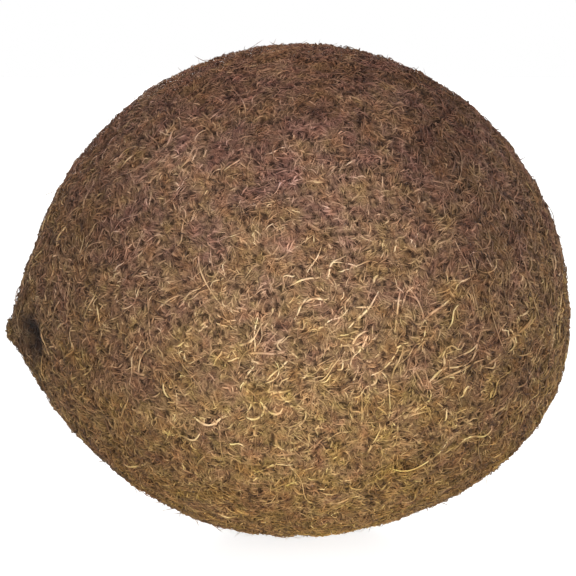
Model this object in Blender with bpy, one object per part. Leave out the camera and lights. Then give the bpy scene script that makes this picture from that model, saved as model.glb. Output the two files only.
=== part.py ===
"""A whole ripe coconut with its husk torn off and its coir trimmed short, lying on its side.

Metres, +Z up. The fruit's own axis runs from the pointed eye end, towards -X, to the round far end,
towards +X, and leans so that the eye end is the lower one. The fruit is one solid. An outline is spun
round the axis, then the skin is pushed in and out for the knob, the three ridges and the three eyes,
and the underside is pressed flat where the fruit rests. The origin is on the surface that it rests on,
under the middle of its bounding box.
"""

import math

import bmesh
import bpy
from mathutils import Matrix, Vector

# Overall size
LENGTH = 0.1228  # along the fruit's own axis, without the knob
GIRTH = 0.1095  # widest diameter, across that axis
TIP_TO_WIDEST = 0.0639  # along the axis, from the eye end to the widest place
LEAN = math.radians(7.8)  # of the axis, eye end down
FAR_END_SAG = 0.0062  # how far the far end lies below the axis

# The outline is two curves that meet at the widest place. A reach is how far a curve's handle goes.
TIP_HALF_ANGLE = math.radians(76.6)  # of the blunt cone at the eye end
TIP_REACH = 0.0269
TIP_SIDE_REACH = 0.0368
FAR_SIDE_REACH = 0.0240
FAR_REACH = 0.0404

# The knob, where the three ridges meet at the eye end
KNOB_HEIGHT = 0.0013
KNOB_RADIUS = 0.0042

# The three eyes are shallow dimples round the knob
EYES = 3
EYE_RING_RADIUS = 0.0110  # from the fruit's axis to the middle of an eye
EYE_RING_TURN = math.radians(-2)  # of the first eye, round the axis from the -Y side upwards
EYE_DIAMETER = 0.0120
EYE_DEPTH = 0.0014

# A low ridge starts at the knob between each two eyes, and dies out along the side
RIDGE_HEIGHT = 0.0008
RIDGE_WIDTH = 0.0130
RIDGE_LENGTH = 0.0600  # along the axis

# The flat spot that the fruit rests on
FOOT_DEPTH = 0.0010  # how much of the round underside is pressed flat

# How finely the solid is cut into faces
SEGMENTS = 64
TIP_STEPS = 28
FAR_STEPS = 16
TIP_CROWDING = 1.6  # above 1, the steps lie closer together towards the knob
WELD = 1e-6


def angle_round_axis(co):
    """0 towards -Y, and a right angle towards +Z."""
    return math.atan2(co.z, -co.y)


def distance_from_axis(co):
    return math.hypot(co.y, co.z)


def cubic(start, leave, arrive, end, t):
    """The point at t, from 0 to 1, on a cubic Bezier curve."""
    s = 1 - t
    return s**3 * start + 3 * s * s * t * leave + 3 * s * t * t * arrive + t**3 * end


def outline():
    """Points (along the axis, out from it) from the eye end's pole to the far end's pole."""
    tip = Vector((0, 0))
    widest = Vector((TIP_TO_WIDEST, GIRTH / 2))
    far = Vector((LENGTH, 0))
    leave_tip = TIP_REACH * Vector((math.cos(TIP_HALF_ANGLE), math.sin(TIP_HALF_ANGLE)))
    reach_widest = widest - Vector((TIP_SIDE_REACH, 0))
    leave_widest = widest + Vector((FAR_SIDE_REACH, 0))
    reach_far = far + Vector((0, FAR_REACH))
    points = [
        cubic(tip, leave_tip, reach_widest, widest, (step / TIP_STEPS) ** TIP_CROWDING)
        for step in range(TIP_STEPS)
    ]
    points += [
        cubic(widest, leave_widest, reach_far, far, step / FAR_STEPS)
        for step in range(FAR_STEPS + 1)
    ]
    return points


def spin_outline(body, points):
    """Spins the outline round the axis into one closed skin that faces out."""
    verts = [body.verts.new((along, -out, 0)) for along, out in points]
    edges = [body.edges.new(pair) for pair in zip(verts, verts[1:])]
    bmesh.ops.spin(
        body,
        geom=verts + edges,
        cent=(0, 0, 0),
        axis=(1, 0, 0),
        angle=2 * math.pi,
        steps=SEGMENTS,
        use_merge=True,
    )
    bmesh.ops.remove_doubles(body, verts=body.verts, dist=WELD)
    bmesh.ops.recalc_face_normals(body, faces=body.faces)


def eye_middles(points):
    """The middle of each eye, on the spun skin."""
    before, after = next(
        pair for pair in zip(points, points[1:]) if pair[0].y <= EYE_RING_RADIUS < pair[1].y
    )
    share = (EYE_RING_RADIUS - before.y) / (after.y - before.y)
    along = before.lerp(after, share).x
    turns = (EYE_RING_TURN + 2 * math.pi * eye / EYES for eye in range(EYES))
    return [
        Vector((along, -EYE_RING_RADIUS * math.cos(turn), EYE_RING_RADIUS * math.sin(turn)))
        for turn in turns
    ]


def eye_depth(co, middles):
    """Deepest in the middle of an eye, and nothing from its rim outwards."""
    share = min((co - middle).length for middle in middles) / (EYE_DIAMETER / 2)
    return EYE_DEPTH * (1 + math.cos(math.pi * min(1, share))) / 2


def ridge_height(co):
    """Highest along a line between each two eyes, and less the further it is from the knob."""
    between = 2 * math.pi / EYES
    turn = (angle_round_axis(co) - EYE_RING_TURN) % between - between / 2
    across = math.exp(-((distance_from_axis(co) * turn / (RIDGE_WIDTH / 2)) ** 2))
    return RIDGE_HEIGHT * across * max(0, 1 - co.x / RIDGE_LENGTH) ** 2


def knob_height(co):
    return KNOB_HEIGHT * math.exp(-((distance_from_axis(co) / KNOB_RADIUS) ** 2))


def shape_skin(body, middles):
    """Pushes each point of the spun skin in at the eyes, and out at the ridges and the knob."""
    for vert in body.verts:
        push = ridge_height(vert.co) - eye_depth(vert.co, middles)
        rise = knob_height(vert.co)
        vert.co += push * vert.normal
        vert.co.x -= rise


def sag_far_end(body):
    """Bends the far end down, more and more past the widest place."""
    for vert in body.verts:
        share = max(0, (vert.co.x - TIP_TO_WIDEST) / (LENGTH - TIP_TO_WIDEST))
        vert.co.z -= FAR_END_SAG * share**2


def press_foot(body):
    """Cuts the underside off flat, closes it, and shades all but that flat spot smooth."""
    lowest = min(vert.co.z for vert in body.verts)
    cut = bmesh.ops.bisect_plane(
        body,
        geom=body.verts[:] + body.edges[:] + body.faces[:],
        plane_co=(0, 0, lowest + FOOT_DEPTH),
        plane_no=(0, 0, -1),
        clear_outer=True,
        dist=WELD,
    )
    for face in body.faces:
        face.smooth = True
    rim = [item for item in cut["geom_cut"] if isinstance(item, bmesh.types.BMEdge)]
    foot = bmesh.ops.edgeloop_fill(body, edges=rim)["faces"]
    for face in foot:
        face.smooth = False


def set_on_origin(body):
    """Moves the fruit so that the origin is under the middle of its box, at its lowest level."""
    low = Vector(min(vert.co[axis] for vert in body.verts) for axis in range(3))
    high = Vector(max(vert.co[axis] for vert in body.verts) for axis in range(3))
    middle = (low + high) / 2
    bmesh.ops.translate(body, verts=body.verts, vec=(-middle.x, -middle.y, -low.z))


def husk_material():
    material = bpy.data.materials.new("husk_felt")
    material.use_nodes = True
    shader = material.node_tree.nodes["Principled BSDF"]
    shader.inputs["Base Color"].default_value = (0.26, 0.155, 0.08, 1)
    shader.inputs["Roughness"].default_value = 0.9
    shader.inputs["Metallic"].default_value = 0.0
    return material


def build_coconut():
    points = outline()
    body = bmesh.new()
    spin_outline(body, points)
    shape_skin(body, eye_middles(points))
    sag_far_end(body)
    bmesh.ops.rotate(body, verts=body.verts, matrix=Matrix.Rotation(-LEAN, 3, "Y"))
    press_foot(body)
    set_on_origin(body)
    bmesh.ops.recalc_face_normals(body, faces=body.faces)
    mesh = bpy.data.meshes.new("coconut")
    body.to_mesh(mesh)
    body.free()
    mesh.materials.append(husk_material())
    coconut = bpy.data.objects.new("coconut", mesh)
    bpy.context.scene.collection.objects.link(coconut)


for leftover in list(bpy.data.objects):
    bpy.data.objects.remove(leftover)
build_coconut()
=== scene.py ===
# %% [markdown]
# # A husked coconut and its coat of coir
# A coconut in a shop has lost its thick husk. What is left on the shell is coir: dry brown fibres,
# short and curly, matted into a felt that looks soft and is scratchy to touch. This lesson dresses
# a plain solid fruit in that coat. The packed model gives the size and the place of everything, so
# it is loaded first and never changed.

# %% Load the fruit
import math

import bmesh
import bpy
import numpy as np
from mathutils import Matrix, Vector
from mathutils.bvhtree import BVHTree


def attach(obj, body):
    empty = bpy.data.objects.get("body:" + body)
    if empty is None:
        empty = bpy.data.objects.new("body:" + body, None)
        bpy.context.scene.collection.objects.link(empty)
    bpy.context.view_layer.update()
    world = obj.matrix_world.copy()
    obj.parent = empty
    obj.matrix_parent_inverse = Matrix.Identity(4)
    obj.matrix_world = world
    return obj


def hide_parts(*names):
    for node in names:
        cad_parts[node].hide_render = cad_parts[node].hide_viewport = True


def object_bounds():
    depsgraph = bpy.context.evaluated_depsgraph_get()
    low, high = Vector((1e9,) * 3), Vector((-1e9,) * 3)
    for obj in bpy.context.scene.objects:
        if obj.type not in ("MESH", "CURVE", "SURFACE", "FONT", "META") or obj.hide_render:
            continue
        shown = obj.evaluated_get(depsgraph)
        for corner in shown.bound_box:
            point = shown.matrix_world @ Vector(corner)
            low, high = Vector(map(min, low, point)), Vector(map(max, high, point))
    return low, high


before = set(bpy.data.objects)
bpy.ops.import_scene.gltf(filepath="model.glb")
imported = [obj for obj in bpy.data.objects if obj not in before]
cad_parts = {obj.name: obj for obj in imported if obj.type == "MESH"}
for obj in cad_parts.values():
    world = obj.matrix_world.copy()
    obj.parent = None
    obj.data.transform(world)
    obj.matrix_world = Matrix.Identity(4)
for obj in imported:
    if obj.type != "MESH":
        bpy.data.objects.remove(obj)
cad_low, cad_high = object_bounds()
MM = 0.001
middle = (cad_low + cad_high) / 2
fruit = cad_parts["coconut"]
print("The solid fruit measures", [round(side / MM, 1) for side in cad_high - cad_low], "mm")

# %% [markdown]
# ## Where the eye end is
# Three seams meet at a small knob at one end of the fruit, and between them are three round eyes,
# where a shoot could come out. They could be looked for in the mesh, but the fruit is built round
# one leaning axis, so a few numbers place them: the knob is the point with the lowest X, and the
# eyes stand in a ring round the axis behind it.

# %% Place the knob and the eyes
LEAN = math.radians(7.8)  # of the axis, knob down
EYES = 3
EYE_RING = 11.0 * MM
EYE_RING_TURN = math.radians(-2)  # of the first eye, round the axis from the near side upwards
EYE_RADIUS = 6.0 * MM
TIP_TO_EYES = 4.7 * MM

axis = Vector((math.cos(LEAN), 0, math.sin(LEAN)))
near_side = Vector((0, -1, 0))
upward = near_side.cross(axis)
tip = min((vert.co for vert in fruit.data.vertices), key=lambda co: co.x).copy()
turns = [EYE_RING_TURN + 2 * math.pi * eye / EYES for eye in range(EYES)]
ways = [math.cos(turn) * near_side + math.sin(turn) * upward for turn in turns]
eyes = [tip + TIP_TO_EYES * axis + EYE_RING * way for way in ways]
print("The knob is at", [round(value / MM, 1) for value in tip], "mm")
print("The eyes are at", [[round(value / MM, 1) for value in eye] for eye in eyes], "mm")

# %% [markdown]
# ## Lumps, pits and eyes
# Felt isn't smooth. The coat is thicker in some places than in others, and it is full of pits about
# a millimetre wide, where one looks down between the fibres. A noise texture could displace it, but
# a sum of waves that run in random directions is as lumpy, and is one line of array maths for all
# the points at once.

# %% Say how lumpy, pitted and sunken the coat is at any point
SWELL_SIZE = 9 * MM
PIT_SIZE = 1.6 * MM
PIT_BRINK = 0.35  # how low the waves are where a pit begins
PIT_SLOPE = 1.0  # how much lower they are at its bottom
CROWD_SIZE = 7 * MM
CROWDING = 0.24  # how much the pits keep together
WAVES = 48
WAVE_RATES = (0.65, 1.5)  # of the slowest and the quickest wave, to the one that is asked for


def lumps(points, wavelength, seed):
    """About -2 to 2 at each point, and it swells and sinks over roughly a wavelength."""
    rng = np.random.default_rng(seed)
    ways = rng.normal(size=(WAVES, 3))
    ways /= np.linalg.norm(ways, axis=1, keepdims=True)
    ways *= 2 * np.pi / wavelength * rng.uniform(*WAVE_RATES, (WAVES, 1))
    phases = rng.uniform(0, 2 * np.pi, WAVES)
    return np.cos(points @ ways.T + phases).sum(1) * math.sqrt(2 / WAVES)


def pits(points):
    """1 at the bottom of a pit, 0 outside the pits, which crowd in some places."""
    depth = CROWDING * lumps(points, CROWD_SIZE, seed=5) - lumps(points, PIT_SIZE, seed=1)
    return np.clip((depth - PIT_BRINK) / PIT_SLOPE, 0, 1)


def eye_share(points):
    """1 in the middle of an eye, 0 from its rim outwards."""
    apart = np.min([np.linalg.norm(points - np.array(eye), axis=1) for eye in eyes], axis=0)
    return (1 + np.cos(np.pi * np.minimum(1, apart / EYE_RADIUS))) / 2


swell = lumps(np.array([tip]), SWELL_SIZE, seed=2)[0]
print("At the knob the coat's swell is", round(swell, 2), "on a scale from -2 to 2")

# %% [markdown]
# ## The felt under the loose fibres
# Deep in the coat the fibres are pressed so close that they make one skin. Its shape could be the
# solid itself, but that has flat facets, which would show between the fibres. So a copy of the
# solid is rounded off by subdivision, and a ball of even squares is cast onto it from the inside. A
# cube that is cut into a grid and blown up makes such a ball: its squares stay nearly equal, where
# a globe's would crowd at the poles.

# %% Round off a copy of the solid, and make a ball of squares
WELD = 0.001 * MM
GRID = 128  # squares along each side of the cube


def round_off(node, levels):
    """A tree of a CAD node's surface, to cast rays on, with its facets rounded off."""
    shape = bmesh.new()
    shape.from_mesh(node.data)
    bmesh.ops.remove_doubles(shape, verts=shape.verts, dist=WELD)
    mesh = bpy.data.meshes.new("rounded")
    shape.to_mesh(mesh)
    shape.free()
    copy = bpy.data.objects.new("rounded", mesh)
    bpy.context.scene.collection.objects.link(copy)
    copy.modifiers.new("Round", "SUBSURF").levels = levels
    tree = BVHTree.FromObject(copy, bpy.context.evaluated_depsgraph_get())
    bpy.data.objects.remove(copy)
    return tree


def ball_of_squares(cuts):
    """The ways out to the corners of nearly equal squares, and which corners each square has."""
    ball = bmesh.new()
    bmesh.ops.create_cube(ball, size=2)
    bmesh.ops.subdivide_edges(ball, edges=ball.edges[:], cuts=cuts - 1, use_grid_fill=True)
    ball.verts.index_update()
    evened = [Vector(math.tan(math.pi / 4 * value) for value in vert.co) for vert in ball.verts]
    ways = [way.normalized() for way in evened]
    squares = [[vert.index for vert in face.verts] for face in ball.faces]
    ball.free()
    return ways, squares


skin = round_off(fruit, levels=2)
ways, squares = ball_of_squares(GRID)
print("The ball has", len(squares), "squares")

# %% Cast the bed that the fibres lie on, and the pitted felt in it
SET_IN = 0.50 * MM  # the loose fibres fill the rest, up to the solid's surface
SWELL_HEIGHT = 0.14 * MM
PIT_DEPTH = 0.45 * MM
EYE_SINK = 1.1 * MM
FOOT_GAP = 0.2 * MM  # between the felt and the ground

hits = [skin.ray_cast(middle, way)[:2] for way in ways]
bed = np.array([hit[0] for hit in hits])
outward = np.array([hit[1] for hit in hits])
push = SWELL_HEIGHT * lumps(bed, SWELL_SIZE, seed=2) - EYE_SINK * eye_share(bed) - SET_IN
bed += push[:, None] * outward
bed[:, 2] = np.maximum(bed[:, 2], FOOT_GAP)
bed_tree = BVHTree.FromPolygons(bed.tolist(), squares)
felt_points = bed - PIT_DEPTH * pits(bed)[:, None] * outward
felt_points[:, 2] = np.maximum(felt_points[:, 2], FOOT_GAP)
mesh = bpy.data.meshes.new("felt_body")
mesh.from_pydata(felt_points.tolist(), [], squares)
mesh.shade_smooth()
pit_depths = mesh.attributes.new("pit", "FLOAT", "POINT")
pit_depths.data.foreach_set("value", pits(bed).astype(np.float32))
felt_body = bpy.data.objects.new("felt_body", mesh)
bpy.context.scene.collection.objects.link(felt_body)
pitted = round(100 * (pits(bed) > 0.5).mean())
print("Of the felt body", pitted, "percent is pits")

# %% [markdown]
# ## Sums with sockets
# A material is a net of nodes, and long nets are hard to read as code. This class wraps one socket,
# so that Python's own + and * add the Math nodes. Colours and vectors have methods of their own,
# because a Math node would turn them grey. Everything else goes through node(), which takes a
# node's type, its settings and its sockets.


# %% A socket that Python can do sums with
class Wire:
    def __init__(self, tree, socket=None):
        self.tree = tree
        self.socket = socket

    def node(self, kind, settings=None, sockets=None, out=0):
        """Adds a node, sets it, fills its sockets with values or wires, and returns an output."""
        made = self.tree.nodes.new("ShaderNode" + kind)
        for name, value in (settings or {}).items():
            if name == "stops":
                self.set_stops(made.color_ramp, value)
            else:
                setattr(made, name, value)
        for name, value in (sockets or {}).items():
            if isinstance(value, Wire):
                self.tree.links.new(value.socket, made.inputs[name])
            else:
                made.inputs[name].default_value = value
        return Wire(self.tree, made.outputs[out])

    @staticmethod
    def set_stops(ramp, stops):
        while len(ramp.elements) < len(stops):
            ramp.elements.new(1)
        for element, (place, colour) in zip(ramp.elements, stops):
            element.position = place
            element.color = (*colour, 1)

    def math(self, operation, *values, clamp=False):
        settings = {"operation": operation, "use_clamp": clamp}
        return self.node("Math", settings, dict(enumerate(values)))

    def __add__(self, other):
        return self.math("ADD", self, other)

    def __sub__(self, other):
        return self.math("SUBTRACT", self, other)

    def __rsub__(self, other):
        return self.math("SUBTRACT", other, self)

    def __mul__(self, other):
        return self.math("MULTIPLY", self, other)

    def __truediv__(self, other):
        return self.math("DIVIDE", self, other)

    def __rtruediv__(self, other):
        return self.math("DIVIDE", other, self)

    __radd__ = __add__
    __rmul__ = __mul__

    def clipped(self):
        return self.math("ADD", self, 0, clamp=True)

    def size(self):
        return self.math("ABSOLUTE", self)

    def vector(self, operation, *values, out=0):
        return self.node("VectorMath", {"operation": operation}, dict(enumerate(values)), out)

    def scaled(self, factor):
        return self.node("VectorMath", {"operation": "SCALE"}, {0: self, "Scale": factor})

    def tinted(self, other, share=1.0):
        """This colour times another one, by a share from 0 to 1."""
        settings = {"data_type": "RGBA", "blend_type": "MULTIPLY"}
        return self.node("Mix", settings, {0: share, 6: self, 7: other}, 2)

    def ramp(self, stops):
        return self.node("ValToRGB", {"stops": stops}, {0: self})

    def noise(self, place, size, detail=2.0, out=0):
        """Cloudy noise, from 0 to 1, with clouds of about this size."""
        sockets = {"Vector": place, "Scale": 1 / size, "Detail": detail}
        return self.node("TexNoise", None, sockets, out)


print("The sums it can do:", sorted(name for name in vars(Wire) if not name.startswith("__")))

# %% [markdown]
# ## Weathering and painted shade for the whole coat
# The felt and every loose fibre come off the same husk, so they share their large changes of
# colour: the coat is redder on top, more ochre low down, mottled all over and nearly black in the
# eyes. Painted shade darkens the top, a little of the very bottom and both ends, and round the knob
# the coat is greyer and darker, partly its own grey and partly painted shade. If each material had
# its own noise, the fibres wouldn't sit in the felt. So one function works the shade out from the
# place alone.

# %% Shade by place
WHITE = (1.0, 1.0, 1.0)
# The red on top and the ochre low down are the coat's own colour; the darker top and the slightly
# darker bottom are painted shade
LEVEL_TINT_AND_SHADE_STOPS = [  # from the ground up
    (0.08, (0.85, 0.79, 0.46)),
    (0.28, (1.00, 0.98, 0.72)),
    (0.50, (0.92, 0.89, 0.78)),
    (0.78, (0.69, 0.61, 0.68)),
    (0.96, (0.50, 0.39, 0.395)),
]
# Painted shade towards both ends of the fruit: from the palest place, at 0, to an end, at 1
END_SHADE_STOPS = [(0.22, (0.98, 0.98, 0.98)), (0.62, (0.56, 0.515, 0.475)), (0.95, (0.51, 0.48, 0.44))]
LEVEL_DRIFT = 0.60  # how far the mottling moves those levels
PALE_SHIFT = Vector((-4, 0, 0)) * MM  # of the palest place, from the fruit's middle
PATCH_SIZE = 13 * MM
MOTTLES = [  # how large they are, and how they tint
    (6.0 * MM, [(0.34, (0.95, 0.87, 1.00)), (0.5, WHITE), (0.66, (1.00, 0.97, 0.78))]),
    (2.8 * MM, [(0.34, (1.00, 0.90, 0.84)), (0.5, WHITE), (0.66, (0.94, 0.99, 0.87))]),
]
# Round the knob the coat is greyer and darker: partly the husk's own grey, partly painted shade at
# that end
TIP_TINT_AND_SHADE = (0.57, 0.56, 0.59, 1)
TIP_REACH = 26 * MM
EYE_TINT = (0.14, 0.12, 0.13, 1)
EYE_REACH = 6.6 * MM
EYE_SHARPNESS = 1.9  # above 1, the dark part is flat in the middle


def near(place, spot, radius):
    """1 at a spot, falling to 0 at a radius from it."""
    apart = place.vector("DISTANCE", place, tuple(spot), out="Value")
    return (1 - apart / radius).clipped()


def weathered_and_shaded(place, colour):
    """The colour as it would be at its place on the fruit, with painted shade on top and at the ends.
    """
    height = place.node("SeparateXYZ", None, {0: place}, 2) / cad_high.z
    level = (height + (place.noise(place, PATCH_SIZE, detail=3) - 0.5) * LEVEL_DRIFT).clipped()
    # By height: the coat's own red and ochre, with painted shade darkening the top
    colour = colour.tinted(level.ramp(LEVEL_TINT_AND_SHADE_STOPS))
    for size, stops in MOTTLES:
        colour = colour.tinted(place.noise(place, size).ramp(stops))
    from_middle = place.vector("SUBTRACT", place, tuple(middle + PALE_SHIFT))
    along = place.vector("DOT_PRODUCT", from_middle, tuple(axis), out="Value")
    along = along / (cad_high.x - middle.x)
    # Painted shade: darker towards both ends
    colour = colour.tinted(along.size().ramp(END_SHADE_STOPS))
    # Round the knob: partly the husk's own grey, partly painted shade at that end
    colour = colour.tinted(TIP_TINT_AND_SHADE, near(place, tip, TIP_REACH))
    for eye in eyes:
        share = (near(place, eye, EYE_REACH) * EYE_SHARPNESS).clipped()
        colour = colour.tinted(EYE_TINT, share)
    return colour


print("The shade depends on the height,", len(MOTTLES), "kinds of mottles, the ends and the eyes")

# %% [markdown]
# ## The finish of the felt
# Between the loose fibres one looks at the felt, which is fibrous too, and down into its pits, where
# the felt's colour is darker as painted shade. Its fibres are too many to model, so the material
# draws them: noise is stretched, bent and folded into thin ridges. The same ridges feed the bump and
# the roughness, so that the lines catch the light as fibres would.

# %% Felt material
FELT_STOPS = [(0.0, (0.050, 0.028, 0.016)), (0.4, (0.170, 0.102, 0.060)), (1.0, (0.330, 0.210, 0.125))]
FINE_LINES = 0.9 * MM
COARSE_LINES = 1.9 * MM
FINE_SHARE = 0.6
COARSE_SHARE = 0.5
LINE_THINNESS = 14
BEND_SIZE = 3 * MM
BEND_REACH = 1.6 * MM
FELT_CLOUDS = 1.5 * MM
FELT_PALENESS = 0.1
# Painted shade: how much darker the felt is down in its pits
PIT_SHADE_IN_FELT = 0.6
FELT_RELIEF = 0.25 * MM
RELIEF_STRENGTH = 0.6
FELT_ROUGHNESS = 0.95
LINE_GLOSS = 0.15  # how much less rough the lines are
FELT_SHEEN = 0.2


def ridges(place, size):
    """Thin curly lines, from 0 between them to 1 along their crests."""
    fold = (place.noise(place, size, detail=1) - 0.5).size()
    return (1 - fold * fold * LINE_THINNESS**2).clipped()


def felt_material():
    material = bpy.data.materials.new("coir_felt")
    material.use_nodes = True
    tree = material.node_tree
    shader = tree.nodes["Principled BSDF"]
    place = Wire(tree).node("TexCoord", out="Object")
    pit = place.node("Attribute", {"attribute_name": "pit"}, out="Fac")
    bent = place.vector("ADD", place, place.noise(place, BEND_SIZE, out="Color").scaled(BEND_REACH))
    lines = ridges(bent, FINE_LINES) * FINE_SHARE + ridges(bent, COARSE_LINES) * COARSE_SHARE
    lines = lines.clipped()
    light = (lines + place.noise(place, FELT_CLOUDS)) / 2 + FELT_PALENESS
    # The pits are darker as painted shade
    colour = (light - pit * PIT_SHADE_IN_FELT).clipped().ramp(FELT_STOPS)
    tree.links.new(weathered_and_shaded(place, colour).socket, shader.inputs["Base Color"])
    tree.links.new((FELT_ROUGHNESS - lines * LINE_GLOSS).socket, shader.inputs["Roughness"])
    relief = {"Strength": RELIEF_STRENGTH, "Distance": FELT_RELIEF, "Height": lines}
    bump = place.node("Bump", None, relief)
    tree.links.new(bump.socket, shader.inputs["Normal"])
    shader.inputs["Specular IOR Level"].default_value = FELT_SHEEN
    return material


felt_body.data.materials.append(felt_material())
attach(felt_body, "root")
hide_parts("coconut")
print("The felt's material has", len(felt_body.active_material.node_tree.nodes), "nodes")

# %% [markdown]
# ## Where a fibre lies
# A loose fibre is a few millimetres long, lies nearly flat and curls at random. Blender's hair
# could be grown on the felt, but hair isn't part of a mesh and this coat has to be one. So each
# fibre is a path that is drawn flat on the plane that touches the fruit at its middle, pressed down
# onto the bed, and lifted a little between its two ends. It bridges the pits, as a real fibre
# would.

# %% Scatter the middles of fibres evenly over the fruit
corners = bed[np.array(squares)]
diagonals = corners[:, 2] - corners[:, 0], corners[:, 3] - corners[:, 1]
areas = np.linalg.norm(np.cross(*diagonals), axis=1) / 2


def scatter(rng, count):
    """Random spots on the bed, as even as its area."""
    square = corners[rng.choice(len(corners), count, p=areas / areas.sum())]
    u, v = rng.uniform(size=(2, count, 1))
    low_edge = square[:, 0] * (1 - u) + square[:, 1] * u
    high_edge = square[:, 3] * (1 - u) + square[:, 2] * u
    return low_edge * (1 - v) + high_edge * v


def thinned(rng, spots, keep):
    """The spots that are left when each is kept with its own probability."""
    return spots[rng.uniform(size=len(spots)) < keep]


print("The bed's area is", round(areas.sum() / MM**2 / 100), "square centimetres")

# %% Draw curly paths and press them onto the bed
BURIED = 0.15 * MM  # how deep a fibre's ends go into the bed
SWING = 0.35  # how much of the curl goes to and fro
ARCH_FULLNESS = 0.6  # below 1, a fibre rises steeply from its ends
UNEVENNESS = 0.7  # of the height along a fibre
SWINGS = (0.8, 2.0)  # how often a fibre goes to and fro
RISES = (0.5, 1.5)  # how often it goes up and down
TINY = 1e-12


def unit(vectors):
    return vectors / np.maximum(np.linalg.norm(vectors, axis=-1, keepdims=True), TINY)


def press(points):
    """The nearest place on the bed to each point, and the way out there."""
    found = [bed_tree.find_nearest(point)[:2] for point in points.reshape(-1, 3).tolist()]
    places = np.array([hit[0] for hit in found]).reshape(points.shape)
    return places, np.array([hit[1] for hit in found]).reshape(points.shape)


def curly_paths(rng, spots, lengths, knots, curl, lift, grain, stray):
    """Paths (fibre, knot, xyz) along the grain, give or take the stray, and the ways out there."""
    count = len(spots)
    out = press(spots)[1]
    ahead = unit(grain - (grain * out).sum(1, keepdims=True) * out)
    aside = np.cross(out, ahead)
    share = np.linspace(-0.5, 0.5, knots)
    angle = rng.uniform(-stray, stray, (count, 1)) + rng.normal(0, curl, (count, 1)) * share
    rate, start = rng.uniform(*SWINGS, (count, 1)), rng.uniform(size=(count, 1))
    angle += rng.normal(0, curl * SWING, (count, 1)) * np.sin(2 * np.pi * (rate * share + start))
    step = lengths[:, None] / (knots - 1)
    forward = np.cumsum(np.cos(angle) * step, axis=1)
    sideways = np.cumsum(np.sin(angle) * step, axis=1)
    forward -= forward.mean(1, keepdims=True)
    sideways -= sideways.mean(1, keepdims=True)
    away = forward[..., None] * ahead[:, None] + sideways[..., None] * aside[:, None]
    places, ways_out = press(spots[:, None] + away)
    arch = np.sin(np.pi * (share + 0.5)) ** ARCH_FULLNESS
    rate, start = rng.uniform(*RISES, (count, 1)), rng.uniform(size=(count, 1))
    wobble = 1 + UNEVENNESS * np.sin(2 * np.pi * (rate * share + start))
    height = lift[:, None] * arch * wobble - BURIED * (1 - arch)
    return places + height[..., None] * ways_out, ways_out


under_tip = np.linalg.norm(press(np.array([tip]))[0] - np.array(tip))
print("The bed lies", round(under_tip / MM, 2), "mm under the tip of the knob")

# %% [markdown]
# ## From path to fibre
# Under a lens a coir fibre is a stiff, slightly flat hair that thins towards its ends. Three sides
# are enough at this size, and smooth shading rounds them off. All the fibres of a piece go into one
# mesh by array maths, because tens of thousands of separate curves would take minutes. Each one
# closes to a point at both ends, so it is a solid, and each has its own cell of the bake map, so
# that no two share a spot on it.

# %% Spin one closed spindle round each path
SIDES = 3
FLATNESS = 0.55  # of a fibre's height to its width
BLUNTNESS = 0.45  # below 1, a fibre keeps its width until close to its ends
THICK_SIZE = 3 * MM
THICK_AND_THIN = 0.15  # how much the width changes along a fibre
THINNEST, THICKEST = 0.4, 1.8  # times its usual width
END_SHARE = 0.04  # of its length, at each end, over which it tapers no further


def spindle_points(paths, ways_out, radii):
    """The two end points and the rings of each spindle, as (fibre, point, xyz)."""
    ahead = unit(np.gradient(paths, axis=1))
    aside = unit(np.cross(ways_out, ahead))
    above = np.cross(ahead, aside)
    share = np.linspace(0, 1, paths.shape[1]).clip(END_SHARE, 1 - END_SHARE)
    taper = np.sin(np.pi * share) ** BLUNTNESS
    unevenness = lumps(paths.reshape(-1, 3), THICK_SIZE, seed=6).reshape(paths.shape[:2])
    width = radii[:, None] * taper * (1 + THICK_AND_THIN * unevenness).clip(THINNEST, THICKEST)
    turns = (2 * np.pi * np.arange(SIDES) / SIDES)[:, None, None, None]
    ring = np.cos(turns) * aside + FLATNESS * np.sin(turns) * above
    rings = paths + ring * width[..., None]
    rings = rings.transpose(1, 2, 0, 3)[:, 1:-1].reshape(len(paths), -1, 3)
    return np.concatenate([paths[:, :1], rings, paths[:, -1:]], axis=1)


def spindle_faces(knots):
    """The corners of one spindle's faces, and the places of those corners in its cell of the map."""
    rings = knots - 2
    last = 1 + SIDES * rings
    faces, places = [], []
    for side in range(SIDES):
        after = (side + 1) % SIDES
        low, high = side / SIDES, (side + 1) / SIDES
        halfway = (low + high) / 2
        first_u, last_u = 1 / (knots - 1), rings / (knots - 1)
        faces.append((0, 1 + after, 1 + side))
        places.append(((0, halfway), (first_u, high), (first_u, low)))
        for ring in range(rings - 1):
            a, b = 1 + ring * SIDES, 1 + (ring + 1) * SIDES
            near_u, far_u = (ring + 1) / (knots - 1), (ring + 2) / (knots - 1)
            faces.append((a + side, a + after, b + after, b + side))
            places.append(((near_u, low), (near_u, high), (far_u, high), (far_u, low)))
        faces.append((last - SIDES + side, last - SIDES + after, last))
        places.append(((last_u, low), (last_u, high), (1, halfway)))
    return faces, places


print("A fibre with 5 knots has", len(spindle_faces(5)[0]), "faces")

# %% Make one mesh of many spindles
CELL_MARGIN = 0.14  # of a cell's width, round the fibre in it


def cells_of_map(count, cell_places):
    """The places on the map of every fibre's corners, when each fibre has a cell of its own."""
    cells = math.ceil(math.sqrt(count))
    row, column = np.divmod(np.arange(count), cells)
    origin = np.stack([column, row], 1)[:, None]
    return (origin + CELL_MARGIN + cell_places * (1 - 2 * CELL_MARGIN)) / cells


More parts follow.
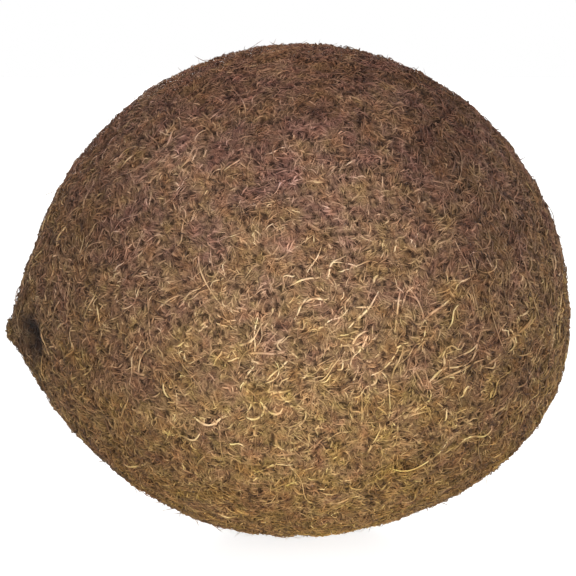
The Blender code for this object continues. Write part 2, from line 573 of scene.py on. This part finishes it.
def fibre_mesh(name, paths, ways_out, radii, tones):
    """One mesh of closed spindles, which carries a tone for each of its points."""
    count, knots = paths.shape[:2]
    points = spindle_points(paths, ways_out, radii)
    points[..., 2] = np.maximum(points[..., 2], 0)
    each = points.shape[1]
    faces, places = spindle_faces(knots)
    sizes = np.array([len(face) for face in faces])
    turn = np.arange(count)[:, None]
    corners = np.concatenate([np.array(face) for face in faces]) + each * turn
    starts = np.cumsum(sizes) - sizes + sizes.sum() * turn
    mesh = bpy.data.meshes.new(name)
    mesh.vertices.add(count * each)
    mesh.vertices.foreach_set("co", points.ravel())
    mesh.loops.add(corners.size)
    mesh.loops.foreach_set("vertex_index", corners.ravel().astype(np.int32))
    mesh.polygons.add(starts.size)
    mesh.polygons.foreach_set("loop_start", starts.ravel().astype(np.int32))
    mesh.polygons.foreach_set("use_smooth", np.ones(starts.size, bool))
    mesh.update(calc_edges=True)
    uv = cells_of_map(count, np.concatenate([np.array(place) for place in places]))
    mesh.uv_layers.new(name="OFBake").data.foreach_set("uv", uv.astype(np.float32).ravel())
    round_rings = np.repeat(tones[:, 1:-1], SIDES, axis=1)
    tones = np.concatenate([tones[:, :1], round_rings, tones[:, -1:]], axis=1)
    # The tone carries the painted shade over the pits too
    carried = mesh.attributes.new("tone", "FLOAT", "POINT")
    carried.data.foreach_set("value", tones.astype(np.float32).ravel())
    return mesh


print("On the map a fibre fills", round(1 - 2 * CELL_MARGIN, 2), "of its cell's width")

# %% [markdown]
# ## The finish of a fibre
# Coir runs from nearly black brown, through chestnut, to straw. A fibre keeps nearly one colour
# along its length, only darker where it crosses a pit: that darkening is painted shade. Each colour
# could have a material of its own, but here the shade is a number that the mesh carries, and a ramp
# turns it into a colour. A little noise makes it blotchy. Dry fibre has a faint silky shine, so it
# is less rough than the felt.

# %% Fibre material
FIBRE_STOPS = [
    (0.00, (0.075, 0.040, 0.024)),
    (0.30, (0.190, 0.107, 0.060)),
    (0.60, (0.370, 0.232, 0.135)),
    (0.85, (0.580, 0.405, 0.250)),
    (1.00, (0.760, 0.590, 0.400)),
]
BLOTCH_SIZE = 1.2 * MM
BLOTCH_STRENGTH = 0.25
FIBRE_ROUGHNESS = 0.7
FIBRE_SHEEN = 0.3


def fibre_material():
    material = bpy.data.materials.new("coir_fibre")
    material.use_nodes = True
    tree = material.node_tree
    shader = tree.nodes["Principled BSDF"]
    place = Wire(tree).node("TexCoord", out="Object")
    # The tone includes painted shade where a fibre crosses a pit
    tone = place.node("Attribute", {"attribute_name": "tone"}, out="Fac")
    blotches = place.noise(place, BLOTCH_SIZE) - 0.5
    colour = (tone + blotches * BLOTCH_STRENGTH).clipped().ramp(FIBRE_STOPS)
    tree.links.new(weathered_and_shaded(place, colour).socket, shader.inputs["Base Color"])
    shader.inputs["Roughness"].default_value = FIBRE_ROUGHNESS
    shader.inputs["Specular IOR Level"].default_value = FIBRE_SHEEN
    return material


coir = fibre_material()
print("The fibres' material has", len(coir.node_tree.nodes), "nodes")

# %% Make a piece of fibres
# Painted shade: fibres are darkened where they cross a pit
PIT_SHADE_ON_FIBRES = 0.37  # how much darker the tone is over a pit
CLOUD_SIZE = 3.2 * MM
CLOUDS = 0.05  # how much the tone rises and falls from place to place


def add_fibres(name, paths, ways_out, radii, tones):
    """A piece of fibres that moves with the fruit. Each fibre has painted shade where it crosses a
    pit.
    """
    points = paths.reshape(-1, 3)
    # Random clouds of tone, less painted shade where a fibre crosses a pit
    cloud_tone_and_pit_shade = CLOUDS * lumps(points, CLOUD_SIZE, seed=4) - PIT_SHADE_ON_FIBRES * pits(points)
    tones = tones[:, None] + cloud_tone_and_pit_shade.reshape(paths.shape[:2])
    mesh = fibre_mesh(name, paths, ways_out, radii, tones)
    mesh.materials.append(coir)
    piece = bpy.data.objects.new(name, mesh)
    bpy.context.scene.collection.objects.link(piece)
    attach(piece, "root")
    print(name, "has", len(paths), "fibres and", len(mesh.polygons), "faces")


# %% [markdown]
# ## The mat
# Most of the coat is this: short fibres, broad and even-coloured ones low down, and thinner, paler
# ones on top. It could be one piece, but a piece of more than 200,000 triangles is slow to handle,
# so the mat is laid in layers. The fibres run along a direction that turns slowly from place to
# place, give or take. Their colour varies most in a band round the middle, and less towards the top
# and the underside.

# %% Say where the band is and which way the fibres run
BAND_WIDTH = 30 * MM
BAND_DROP = 3 * MM  # below the fruit's middle
BAND_TILT = 0.15  # down towards the far end
FLOW_SIZE = 16 * MM


def band(spots):
    """1 along a loose band round the middle of the fruit, less above and below it."""
    above = spots[:, 2] - middle.z + BAND_DROP + BAND_TILT * spots[:, 0]
    return np.exp(-((above / BAND_WIDTH) ** 2))


def flow(spots):
    """A direction at each spot that changes slowly from place to place."""
    return np.stack([lumps(spots, FLOW_SIZE, seed=20 + part) for part in range(3)], axis=1)


def mixed_lengths(rng, count, usual, spread, least, most):
    """Lengths of which most are close to the usual one, and a few are much longer."""
    return np.clip(rng.lognormal(math.log(usual), spread, count), least, most)


print("At the tip the band is down to", round(band(np.array([tip]))[0], 2))

# %% Lay the mat in layers
LAYERS = 7
FIBRES_IN_LAYER = 10500
MAT_KNOTS = 5
BARE_PITS = 0.8  # how many of the fibres over a pit's bottom are left out
BARE_EYES = 0.75
MAT_LENGTHS = {"usual": 2.7 * MM, "spread": 0.40, "least": 1.3 * MM, "most": 7 * MM}
MAT_CURL = 1.0
MAT_STRAY = 1.1
THIN, BROAD, FINER = 0.13, 0.34, 0.10  # radii in mm, and how much finer the top layer's broadest is
LOW, HIGH, RISE = 0.02, 0.22, 0.28  # lifts in mm, and how much higher the top layer lies
MAT_TONE, PALER = 0.47, 0.08  # of the lowest layer, and how much paler the top one is
EVEN, CONTRAST = 0.08, 0.08  # spread of the tones in the lowest layer, and what the top one adds
PLAIN = 0.55  # how much of that spread is left away from the band
PATCHES = 0.04
MAT_PATCH_SIZE = 7 * MM
PALE_SHARE = 0.10  # of the uppermost fibres
PALE_LIFT = 0.20

for layer in range(LAYERS):
    rng = np.random.default_rng(100 + layer)
    height = layer / (LAYERS - 1)  # 0 in the lowest layer, 1 in the top one
    spots = scatter(rng, FIBRES_IN_LAYER)
    keep = (1 - BARE_PITS * pits(spots)) * (1 - BARE_EYES * eye_share(spots))
    spots = thinned(rng, spots, keep)
    count = len(spots)
    lengths = mixed_lengths(rng, count, **MAT_LENGTHS)
    radii = rng.uniform(THIN, BROAD - FINER * height, count) * MM
    lift = rng.uniform(LOW, HIGH, count) * MM + height * RISE * MM
    patchy = PATCHES * lumps(spots, MAT_PATCH_SIZE, seed=3)
    spread = (EVEN + CONTRAST * height) * (PLAIN + (1 - PLAIN) * band(spots))
    tones = MAT_TONE + PALER * height + rng.normal(size=count) * spread + patchy
    tones += PALE_LIFT * (rng.uniform(size=count) < PALE_SHARE * height)
    paths, ways_out = curly_paths(
        rng, spots, lengths, MAT_KNOTS, MAT_CURL, lift, flow(spots), MAT_STRAY
    )
    add_fibres(f"coir_mat_{layer + 1}", paths, ways_out, radii, tones)


# %% [markdown]
# ## Straw strands
# Here and there a longer, paler strand lies on top, the colour of straw. These strands gather in a
# loose band round the middle of the fruit and climb away from the knob. So they are scattered
# evenly, then thinned out away from that band, and given a grain.

# %% Lay the straw strands
STRAW_COUNT = 2000
STRAW_KNOTS = 12
STRAW_LENGTHS = {"usual": 6.5 * MM, "spread": 0.45, "least": 3 * MM, "most": 18 * MM}
STRAW_RADII = (0.16 * MM, 0.36 * MM)
STRAW_LIFT = (0.22, 0.55)  # in mm
STRAW_CURL = 1.2
STRAW_STRAY = 0.7
STRAW_TONE = (0.82, 0.12)  # its middle and its spread
STRAW_TONE_LIMITS = (0.55, 1)
STRAW_CLIMB = 0.75  # upwards, for each length away from the knob
ANYWHERE, IN_BAND = 0.05, 0.75  # how many strands are kept

rng = np.random.default_rng(7)
spots = scatter(rng, STRAW_COUNT)
keep = (ANYWHERE + IN_BAND * band(spots) ** 2) * (1 - eye_share(spots))
spots = thinned(rng, spots, keep)
count = len(spots)
lengths = mixed_lengths(rng, count, **STRAW_LENGTHS)
radii = rng.uniform(*STRAW_RADII, count)
lift = rng.uniform(*STRAW_LIFT, count) * MM
tones = np.clip(rng.normal(*STRAW_TONE, count), *STRAW_TONE_LIMITS)
grain = np.tile(np.array(axis + STRAW_CLIMB * Vector((0, 0, 1))), (count, 1))
paths, ways_out = curly_paths(
    rng, spots, lengths, STRAW_KNOTS, STRAW_CURL, lift, grain, STRAW_STRAY
)
add_fibres("straw_strands", paths, ways_out, radii, tones)

# %% [markdown]
# ## Long strands round the far end
# On the round end the husk leaves long thin strands that run round the axis, side by side with the
# outline. They are made as the straw is, but their grain is square to the axis, and there are fewer
# of them the closer they are to the knob.

# %% Lay the long strands
LONG_COUNT = 1000
LONG_KNOTS = 16
LONG_LENGTHS = (9 * MM, 24 * MM)
LONG_RADII = (0.12 * MM, 0.24 * MM)
LONG_LIFT = (0.30, 0.52)  # in mm
LONG_CURL = 0.7
LONG_STRAY = 0.35
LONG_TONE = (0.68, 0.09)  # its middle and its spread
LONG_TONE_LIMITS = (0.45, 0.95)
EVERYWHERE, AT_FAR_END = 0.08, 0.55  # how many strands are kept
FAR_GROWTH = 2.2  # how steeply their number grows towards the far end

rng = np.random.default_rng(8)
spots = scatter(rng, LONG_COUNT)
along = (spots - np.array(tip)) @ np.array(axis) / (cad_high.x - cad_low.x)
far = np.clip(1 - FAR_GROWTH * (1 - along), 0, 1)
spots = thinned(rng, spots, EVERYWHERE + AT_FAR_END * far)
count = len(spots)
lengths = rng.uniform(*LONG_LENGTHS, count)
radii = rng.uniform(*LONG_RADII, count)
lift = rng.uniform(*LONG_LIFT, count) * MM
tones = np.clip(rng.normal(*LONG_TONE, count), *LONG_TONE_LIMITS)
grain = np.cross(np.array(axis), press(spots)[1])
paths, ways_out = curly_paths(
    rng, spots, lengths, LONG_KNOTS, LONG_CURL, lift, grain, LONG_STRAY
)
add_fibres("long_strands", paths, ways_out, radii, tones)

# %% [markdown]
# ## Stray hairs
# Against the light the outline isn't clean: fine hairs stand off it by up to a millimetre. The
# curly paths can't make them, because they are pressed onto the bed. So each hair starts in the
# mat, leaves it at a slant in any direction, and bends as it likes.


# %% Draw paths that stand up
def standing_paths(rng, roots, ways, lengths, knots, bend):
    """Paths that leave their roots along the given ways and bend at random, and ways square on."""
    share = np.linspace(0, 1, knots)[:, None]
    bends = rng.normal(0, bend, (len(roots), 1, 3))
    paths = roots[:, None] + lengths[:, None, None] * (share * ways[:, None] + share**2 * bends)
    square_on = unit(np.cross(ways, rng.normal(size=ways.shape)))
    return paths, np.repeat(square_on[:, None], knots, axis=1)


# %% Let fine hairs stand off the coat
STRAY_COUNT = 3200
STRAY_KNOTS = 6
STRAY_SLANT = 0.28  # how far out a hair goes for each length along the fruit
STRAY_LENGTHS = (1.8 * MM, 4.2 * MM)
STRAY_RADII = (0.05 * MM, 0.09 * MM)
STRAY_TONES = (0.3, 0.8)
STRAY_BEND = 0.16

rng = np.random.default_rng(9)
roots = scatter(rng, STRAY_COUNT)
out = press(roots)[1]
ways = unit(unit(np.cross(out, rng.normal(size=out.shape))) + STRAY_SLANT * out)
lengths = rng.uniform(*STRAY_LENGTHS, STRAY_COUNT)
paths, ways_out = standing_paths(rng, roots, ways, lengths, STRAY_KNOTS, STRAY_BEND)
radii = rng.uniform(*STRAY_RADII, STRAY_COUNT)
tones = rng.uniform(*STRAY_TONES, STRAY_COUNT)
add_fibres("stray_hairs", paths, ways_out, radii, tones)

# %% [markdown]
# ## The tuft on the knob
# Where the three seams meet, a stiff tuft of short thick fibres is left. The mat's fibres lie too
# flat for it, so it is planted like the hairs: rooted in a small disc round the tip, and leaning
# outwards from the axis.

# %% Plant the tuft
TUFT_COUNT = 380
TUFT_KNOTS = 6
TUFT_RADIUS = 2.3 * MM
TUFT_SHIFT = 0.8 * MM  # upwards from the tip
TUFT_LENGTHS = (0.5 * MM, 1.1 * MM)
TUFT_RADII = (0.16 * MM, 0.34 * MM)
TUFT_BEND = 0.22
TUFT_TONE = (0.64, 0.12)  # its middle and its spread
SPLAY, FORWARD, DISORDER = 0.5, 0.4, 0.4  # how far out, ahead and at random a fibre leans

rng = np.random.default_rng(10)
turn = rng.uniform(0, 2 * np.pi, (TUFT_COUNT, 1))
sideways = np.cos(turn) * np.array(near_side) + np.sin(turn) * np.array(upward)
away = TUFT_RADIUS * np.sqrt(rng.uniform(size=(TUFT_COUNT, 1)))
roots = press(np.array(tip + TUFT_SHIFT * upward) + away * sideways)[0]
ways = sideways * (SPLAY + away / TUFT_RADIUS) - FORWARD * np.array(axis)
ways = unit(ways + rng.normal(0, DISORDER, roots.shape))
lengths = rng.uniform(*TUFT_LENGTHS, TUFT_COUNT)
paths, ways_out = standing_paths(rng, roots, ways, lengths, TUFT_KNOTS, TUFT_BEND)
radii = rng.uniform(*TUFT_RADII, TUFT_COUNT)
tones = rng.normal(*TUFT_TONE, TUFT_COUNT)
add_fibres("knob_tuft", paths, ways_out, radii, tones)

# %% [markdown]
# ## The floor
# The fruit rests on white paper that goes on past the edges of any view. Paper could be lit until
# it is that bright, but so much light would wash out the fruit. So this paper glows by itself,
# brightly to the camera and less brightly onto the fruit.

# %% Floor
FLOOR_RADIUS = 6
FLOOR_SIDES = 96
PAPER_ROUGHNESS = 0.9
FLOOR_COLOUR = 0.6
FLOOR_GLOW = 0.30  # as light on the fruit
FLOOR_SHOWS = 0.74  # as the camera sees it


def add_floor():
    bpy.ops.mesh.primitive_circle_add(
        vertices=FLOOR_SIDES, radius=FLOOR_RADIUS, fill_type="NGON"
    )
    floor = bpy.context.object
    floor.name = "floor"
    material = bpy.data.materials.new("white_paper")
    material.use_nodes = True
    tree = material.node_tree
    shader = tree.nodes["Principled BSDF"]
    seen = Wire(tree).node("LightPath", out="Is Camera Ray")
    glow = seen * (FLOOR_SHOWS - FLOOR_GLOW) + FLOOR_GLOW
    tree.links.new(glow.socket, shader.inputs["Emission Color"])
    shader.inputs["Emission Strength"].default_value = 1
    shader.inputs["Base Color"].default_value = (FLOOR_COLOUR, FLOOR_COLOUR, FLOOR_COLOUR, 1)
    shader.inputs["Roughness"].default_value = PAPER_ROUGHNESS
    floor.data.materials.append(material)


add_floor()
print("The floor is", 2 * FLOOR_RADIUS, "m across")

# %% [markdown]
# ## The light
# Soft light comes in low from all four sides, as in a white tent, and the front is the strongest. A
# lamp near the fruit could show in a view from another side, so these lamps are suns: each is only
# a direction, and the wider it is, the softer its shadows are. The world adds a little light from
# everywhere, and shows white behind the floor.

# %% Light
LIGHTS = [  # name, turn from the front, rise and width in degrees, strength
    ("front_light", 0, 4, 25, 6.95),
    ("back_light", 180, 5, 25, 5.0),
    ("left_light", -90, 10, 60, 1.3),
    ("right_light", 90, 10, 60, 2.0),
]
WORLD_LIGHT = 0.10
WORLD_SHOWS = 1.0


def way_to(turn, rise):
    """The way to something that stands at a turn from the front and a rise above the ground."""
    level = math.cos(rise)
    return Vector((math.sin(turn) * level, -math.cos(turn) * level, math.sin(rise)))


def add_far_light(name, turn, rise, width, strength):
    """A wide soft light from far away, at a turn and a rise round the fruit."""
    light = bpy.data.lights.new(name, "SUN")
    light.energy = strength
    light.angle = math.radians(width)
    lamp = bpy.data.objects.new(name, light)
    way = way_to(math.radians(turn), math.radians(rise))
    lamp.rotation_euler = way.to_track_quat("Z", "Y").to_euler()
    bpy.context.scene.collection.objects.link(lamp)


def add_world(light, shows):
    """A white surround that lights the fruit by one strength and shows to the camera by another."""
    world = bpy.data.worlds.new("studio")
    world.use_nodes = True
    tree = world.node_tree
    seen = Wire(tree).node("LightPath", out="Is Camera Ray")
    background = tree.nodes["Background"]
    background.inputs["Color"].default_value = (1, 1, 1, 1)
    tree.links.new((seen * (shows - light) + light).socket, background.inputs["Strength"])
    bpy.context.scene.world = world


for light in LIGHTS:
    add_far_light(*light)
add_world(WORLD_LIGHT, WORLD_SHOWS)
print("There are", len(LIGHTS), "lights and the world")

# %% [markdown]
# ## The camera
# The camera stands half a metre away, a little to the left of the front and a little above the
# fruit. A close camera would make the near side bulge, so it has a long lens, and the length of
# that lens follows from the width that it has to frame.

# %% Camera
CAMERA_TURN = math.radians(-6)
CAMERA_RISE = math.radians(6)
CAMERA_AWAY = 0.53
FRAME_WIDTH = 0.1283  # of the view, at the middle of the fruit
SENSOR_WIDTH = 36

camera = bpy.data.cameras.new("camera")
camera.sensor_width = SENSOR_WIDTH
camera.lens = SENSOR_WIDTH * CAMERA_AWAY / FRAME_WIDTH
holder = bpy.data.objects.new("camera", camera)
back = way_to(CAMERA_TURN, CAMERA_RISE)
holder.location = middle + CAMERA_AWAY * back
holder.rotation_euler = back.to_track_quat("Z", "Y").to_euler()
bpy.context.scene.collection.objects.link(holder)
bpy.context.scene.camera = holder
bpy.context.scene.view_settings.view_transform = "Standard"
print("The lens is", round(camera.lens), "mm long")

# %% [markdown]
# ## Size
# The coat may stand a little proud of the solid, and no more.
